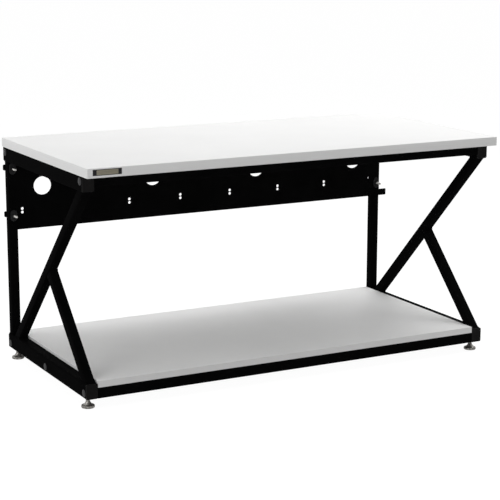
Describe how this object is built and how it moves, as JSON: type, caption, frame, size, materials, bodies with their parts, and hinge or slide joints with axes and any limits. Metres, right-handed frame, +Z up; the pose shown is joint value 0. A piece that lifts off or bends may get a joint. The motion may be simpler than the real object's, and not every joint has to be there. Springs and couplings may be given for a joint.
{
  "type": "assembly table",
  "caption": "Assembly table with a white laminated top and lower shelf on black braced side frames, a perforated rear panel with cable holes and screw-adjusted levelling feet.",
  "frame": {"origin": "middle of the overall outline, on the floor under the feet", "axes": "+X to the right seen from the front, +Y towards the rear panel, +Z up"},
  "size_m": [1.543, 0.7736, 0.776],
  "materials": {
    "laminated_board": "white laminate on board",
    "edge_band": "matt white edge band",
    "powder_coat": "black powder coat, fine texture",
    "cap_plastic": "black moulded plastic, light grain",
    "plug_plastic": "dark grey moulded plastic",
    "dark_steel": "dark grey coated steel",
    "zinc_steel": "bright zinc plate"
  },
  "bodies": {
    "table": {"tabletop_board": "laminated_board", "tabletop_edge_band": "edge_band", "left_top_rail": "powder_coat", "left_bottom_rail": "powder_coat", "left_rear_post": "powder_coat", "left_long_brace": "powder_coat", "left_short_brace": "powder_coat", "left_top_cap_front": "cap_plastic", "left_bottom_cap_front": "cap_plastic", "left_top_cap_rear": "cap_plastic", "left_bottom_cap_rear": "cap_plastic", "left_top_plug_front": "plug_plastic", "left_top_plug_rear": "plug_plastic", "left_bottom_plug_front": "plug_plastic", "left_bottom_plug_middle": "plug_plastic", "left_bottom_plug_rear": "plug_plastic", "right_top_rail": "powder_coat", "right_bottom_rail": "powder_coat", "right_rear_post": "powder_coat", "right_long_brace": "powder_coat", "right_short_brace": "powder_coat", "right_top_cap_front": "cap_plastic", "right_bottom_cap_front": "cap_plastic", "right_top_cap_rear": "cap_plastic", "right_bottom_cap_rear": "cap_plastic", "right_top_plug_front": "plug_plastic", "right_top_plug_rear": "plug_plastic", "right_bottom_plug_front": "plug_plastic", "right_bottom_plug_middle": "plug_plastic", "right_bottom_plug_rear": "plug_plastic", "top_beam_front": "powder_coat", "top_beam_rear": "powder_coat", "bottom_beam_front": "powder_coat", "bottom_beam_middle": "powder_coat", "bottom_beam_rear": "powder_coat", "shelf_board": "laminated_board", "shelf_edge_band": "edge_band", "rear_panel": "powder_coat", "side_tab": "powder_coat", "left_panel_bolt_lower": "zinc_steel", "left_nut_plate_lower": "dark_steel", "left_clamp_bar_lower": "powder_coat", "left_panel_bolt_upper": "zinc_steel", "left_nut_plate_upper": "dark_steel", "left_clamp_bar_upper": "powder_coat", "right_panel_bolt_lower": "zinc_steel", "right_nut_plate_lower": "dark_steel", "right_clamp_bar_lower": "powder_coat", "right_panel_bolt_upper": "zinc_steel", "right_nut_plate_upper": "dark_steel", "right_clamp_bar_upper": "powder_coat"},
    "left_front_foot": {"left_foot_base_front": "zinc_steel"},
    "left_front_stem": {"left_foot_stem_front": "zinc_steel"},
    "left_rear_foot": {"left_foot_base_rear": "zinc_steel"},
    "left_rear_stem": {"left_foot_stem_rear": "zinc_steel"},
    "right_front_foot": {"right_foot_base_front": "zinc_steel"},
    "right_front_stem": {"right_foot_stem_front": "zinc_steel"},
    "right_rear_foot": {"right_foot_base_rear": "zinc_steel"},
    "right_rear_stem": {"right_foot_stem_rear": "zinc_steel"}
  },
  "joints": [
    {"name": "left_front_foot_lift", "type": "slide", "parent": "table", "child": "left_front_foot", "axis": [0, 0, -1], "range_m": [-0.007, 0.02]},
    {"name": "left_front_stem_turn", "type": "hinge", "parent": "left_front_foot", "child": "left_front_stem", "pos_m": [-0.747, -0.29975, 0.02], "axis": [0, 0, -1], "range_deg": [-1681, 4801]},
    {"name": "left_rear_foot_lift", "type": "slide", "parent": "table", "child": "left_rear_foot", "axis": [0, 0, -1], "range_m": [-0.007, 0.02]},
    {"name": "left_rear_stem_turn", "type": "hinge", "parent": "left_rear_foot", "child": "left_rear_stem", "pos_m": [-0.747, 0.33825, 0.02], "axis": [0, 0, -1], "range_deg": [-1681, 4801]},
    {"name": "right_front_foot_lift", "type": "slide", "parent": "table", "child": "right_front_foot", "axis": [0, 0, -1], "range_m": [-0.007, 0.02]},
    {"name": "right_front_stem_turn", "type": "hinge", "parent": "right_front_foot", "child": "right_front_stem", "pos_m": [0.728, -0.29975, 0.02], "axis": [0, 0, -1], "range_deg": [-1681, 4801]},
    {"name": "right_rear_foot_lift", "type": "slide", "parent": "table", "child": "right_rear_foot", "axis": [0, 0, -1], "range_m": [-0.007, 0.02]},
    {"name": "right_rear_stem_turn", "type": "hinge", "parent": "right_rear_foot", "child": "right_rear_stem", "pos_m": [0.728, 0.33825, 0.02], "axis": [0, 0, -1], "range_deg": [-1681, 4801]}
  ],
  "couplings": [
    {"joint": "left_front_stem_turn", "follows": "left_front_foot_lift", "rad_per_m": 4188.8},
    {"joint": "left_rear_stem_turn", "follows": "left_rear_foot_lift", "rad_per_m": 4188.8},
    {"joint": "right_front_stem_turn", "follows": "right_front_foot_lift", "rad_per_m": 4188.8},
    {"joint": "right_rear_stem_turn", "follows": "right_rear_foot_lift", "rad_per_m": 4188.8}
  ]
}
